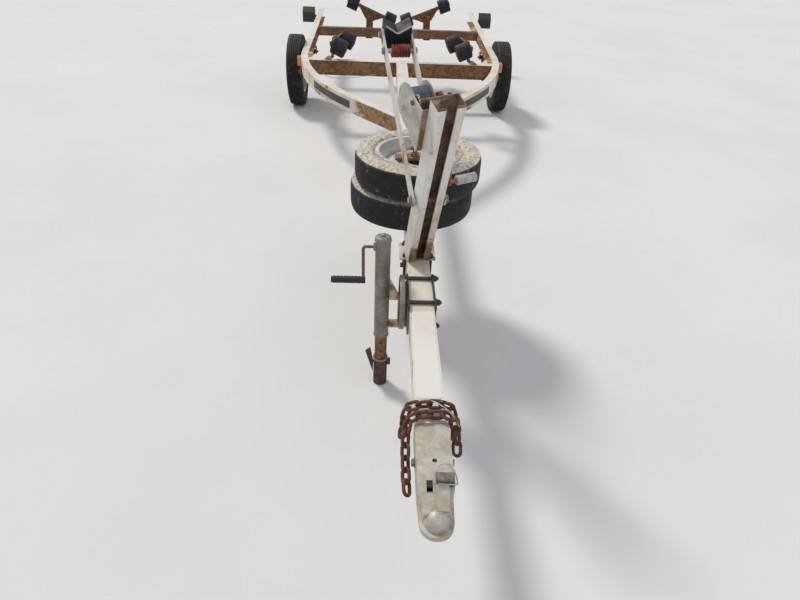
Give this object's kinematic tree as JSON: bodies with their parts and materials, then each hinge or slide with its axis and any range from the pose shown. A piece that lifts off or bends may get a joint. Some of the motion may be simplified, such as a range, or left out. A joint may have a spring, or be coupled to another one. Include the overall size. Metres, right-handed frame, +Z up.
{
  "type": "boat trailer",
  "caption": "Single axle boat trailer with a bent side rail frame, leaning hand winch stand, side jack, stacked spare wheels and tilting hull rollers.",
  "frame": {"origin": "centre of the footprint, on the ground", "axes": "+X to the right seen from the coupler, +Y to the rear, +Z up"},
  "size_m": [1.806, 5.912, 1.1402],
  "materials": {
    "white_paint": "chalky white paint, chipped and rusty",
    "rusty_steel": "brown surface rust",
    "zinc_steel": "dull zinc plated steel",
    "coupler_zinc": "worn zinc, grey and tan",
    "tyre_rubber": "worn black tyre rubber",
    "dusty_rubber": "old dusty tyre rubber",
    "roller_rubber": "black roller rubber",
    "maroon_rubber": "dull maroon rubber",
    "black_plastic": "matte black plastic",
    "grey_plastic": "pale grey plastic",
    "webbing": "dark woven webbing",
    "red_lens": "red lens",
    "amber_lens": "faded orange lens"
  },
  "bodies": {
    "frame": {"tongue": "white_paint", "front_cross_member": "white_paint", "rear_cross_member": "rusty_steel", "axle_beam": "rusty_steel", "spring_hangers": "rusty_steel", "spare_tyres": "dusty_rubber", "spare_rims": "white_paint", "spare_carrier": "rusty_steel", "coupler_body": "coupler_zinc", "coupler_latch": "coupler_zinc", "safety_chain": "rusty_steel", "jack_mount": "zinc_steel", "winch_post": "white_paint", "base_clamp": "rusty_steel", "bow_arms": "white_paint", "bow_block": "roller_rubber", "winch_frame": "rusty_steel", "leaf_spring_right": "rusty_steel", "leaf_spring_left": "rusty_steel", "side_rail_right": "white_paint", "side_rail_left": "white_paint", "corner_gussets": "white_paint", "rocker_posts": "rusty_steel", "cradle_posts": "rusty_steel", "tail_lamps": "black_plastic", "tail_lenses": "red_lens", "marker_lamps": "amber_lens"},
    "wheel_right": {"wheel_right": "white_paint", "tyre_right": "tyre_rubber"},
    "wheel_left": {"wheel_left": "white_paint", "tyre_left": "tyre_rubber"},
    "jack": {"jack_tube": "zinc_steel"},
    "jack_leg": {"jack_leg": "rusty_steel", "jack_foot": "rusty_steel"},
    "jack_crank": {"jack_crank": "rusty_steel", "jack_grip": "black_plastic"},
    "winch_drum": {"winch_drum": "zinc_steel", "winch_strap": "webbing"},
    "winch_crank": {"winch_crank": "rusty_steel", "winch_grip": "grey_plastic"},
    "bow_roller": {"bow_roller": "maroon_rubber"},
    "rocker_right": {"rocker_right": "rusty_steel"},
    "front_roller_fore_right": {"front_roller_fore_right": "roller_rubber"},
    "front_roller_aft_right": {"front_roller_aft_right": "roller_rubber"},
    "cradle_right": {"cradle_right": "rusty_steel"},
    "rear_roller_inner_right": {"rear_roller_inner_right": "roller_rubber"},
    "rear_roller_outer_right": {"rear_roller_outer_right": "roller_rubber"},
    "rocker_left": {"rocker_left": "rusty_steel"},
    "front_roller_fore_left": {"front_roller_fore_left": "roller_rubber"},
    "front_roller_aft_left": {"front_roller_aft_left": "roller_rubber"},
    "cradle_left": {"cradle_left": "rusty_steel"},
    "rear_roller_inner_left": {"rear_roller_inner_left": "roller_rubber"},
    "rear_roller_outer_left": {"rear_roller_outer_left": "roller_rubber"}
  },
  "joints": [
    {"name": "wheel_right_spin", "type": "hinge", "parent": "frame", "child": "wheel_right", "pos_m": [0.806, 1.306, 0.262], "axis": [1, 0, 0], "continuous": true},
    {"name": "wheel_left_spin", "type": "hinge", "parent": "frame", "child": "wheel_left", "pos_m": [-0.806, 1.306, 0.262], "axis": [1, 0, 0], "continuous": true},
    {"name": "jack_swivel", "type": "hinge", "parent": "frame", "child": "jack", "pos_m": [-0.044, -2.11, 0.416], "axis": [1, 0, 0], "range_deg": [-90, 0]},
    {"name": "jack_leg_slide", "type": "slide", "parent": "jack", "child": "jack_leg", "axis": [0, 0, 1], "range_m": [-0.2, 0.05]},
    {"name": "jack_crank_spin", "type": "hinge", "parent": "jack", "child": "jack_crank", "pos_m": [-0.179, -2.029, 0.572], "axis": [1, 0, 0], "continuous": true},
    {"name": "winch_drum_spin", "type": "hinge", "parent": "frame", "child": "winch_drum", "pos_m": [-0.01316, -1.9835, 1.01475], "axis": [0.9329, 0.3522, 0.0747], "continuous": true},
    {"name": "winch_crank_spin", "type": "hinge", "parent": "frame", "child": "winch_crank", "pos_m": [0.01044, -2.05306, 1.04797], "axis": [0.9329, 0.3522, 0.0747], "continuous": true},
    {"name": "bow_roller_spin", "type": "hinge", "parent": "frame", "child": "bow_roller", "pos_m": [-0.07241, -1.49136, 1.04538], "axis": [0.9848, 0.1736, 0], "continuous": true},
    {"name": "rocker_right_tilt", "type": "hinge", "parent": "frame", "child": "rocker_right", "pos_m": [0.46, 0.886, 0.582], "axis": [0.9101, 0.1769, 0.3746], "range_deg": [-15, 15]},
    {"name": "front_roller_fore_right_spin", "type": "hinge", "parent": "rocker_right", "child": "front_roller_fore_right", "pos_m": [0.43459, 0.75678, 0.56196], "axis": [0.9101, 0.1769, 0.3746], "continuous": true},
    {"name": "front_roller_aft_right_spin", "type": "hinge", "parent": "rocker_right", "child": "front_roller_aft_right", "pos_m": [0.38803, 0.99629, 0.56196], "axis": [0.9101, 0.1769, 0.3746], "continuous": true},
    {"name": "rocker_left_tilt", "type": "hinge", "parent": "frame", "child": "rocker_left", "pos_m": [-0.46, 0.886, 0.582], "axis": [-0.9101, 0.1769, 0.3746], "range_deg": [-15, 15]},
    {"name": "front_roller_fore_left_spin", "type": "hinge", "parent": "rocker_left", "child": "front_roller_fore_left", "pos_m": [-0.43459, 0.75678, 0.56196], "axis": [-0.9101, 0.1769, 0.3746], "continuous": true},
    {"name": "front_roller_aft_left_spin", "type": "hinge", "parent": "rocker_left", "child": "front_roller_aft_left", "pos_m": [-0.38803, 0.99629, 0.56196], "axis": [-0.9101, 0.1769, 0.3746], "continuous": true},
    {"name": "cradle_right_tilt", "type": "hinge", "parent": "frame", "child": "cradle_right", "pos_m": [0.25473, 2.126, 0.52864], "axis": [0, 1, 0], "range_deg": [0, 30]},
    {"name": "rear_roller_inner_right_spin", "type": "hinge", "parent": "cradle_right", "child": "rear_roller_inner_right", "pos_m": [0.07606, 2.126, 0.51038], "axis": [0.9272, 0, 0.3746], "continuous": true},
    {"name": "rear_roller_outer_right_spin", "type": "hinge", "parent": "cradle_right", "child": "rear_roller_outer_right", "pos_m": [0.39594, 2.126, 0.63962], "axis": [0.9272, 0, 0.3746], "continuous": true},
    {"name": "cradle_left_tilt", "type": "hinge", "parent": "frame", "child": "cradle_left", "pos_m": [-0.25473, 2.126, 0.52864], "axis": [0, -1, 0], "range_deg": [0, 30]},
    {"name": "rear_roller_inner_left_spin", "type": "hinge", "parent": "cradle_left", "child": "rear_roller_inner_left", "pos_m": [-0.07606, 2.126, 0.51038], "axis": [-0.9272, 0, 0.3746], "continuous": true},
    {"name": "rear_roller_outer_left_spin", "type": "hinge", "parent": "cradle_left", "child": "rear_roller_outer_left", "pos_m": [-0.39594, 2.126, 0.63962], "axis": [-0.9272, 0, 0.3746], "continuous": true}
  ],
  "couplings": [
    {"joint": "winch_crank_spin", "follows": "winch_drum_spin", "ratio": -3.4286}
  ]
}
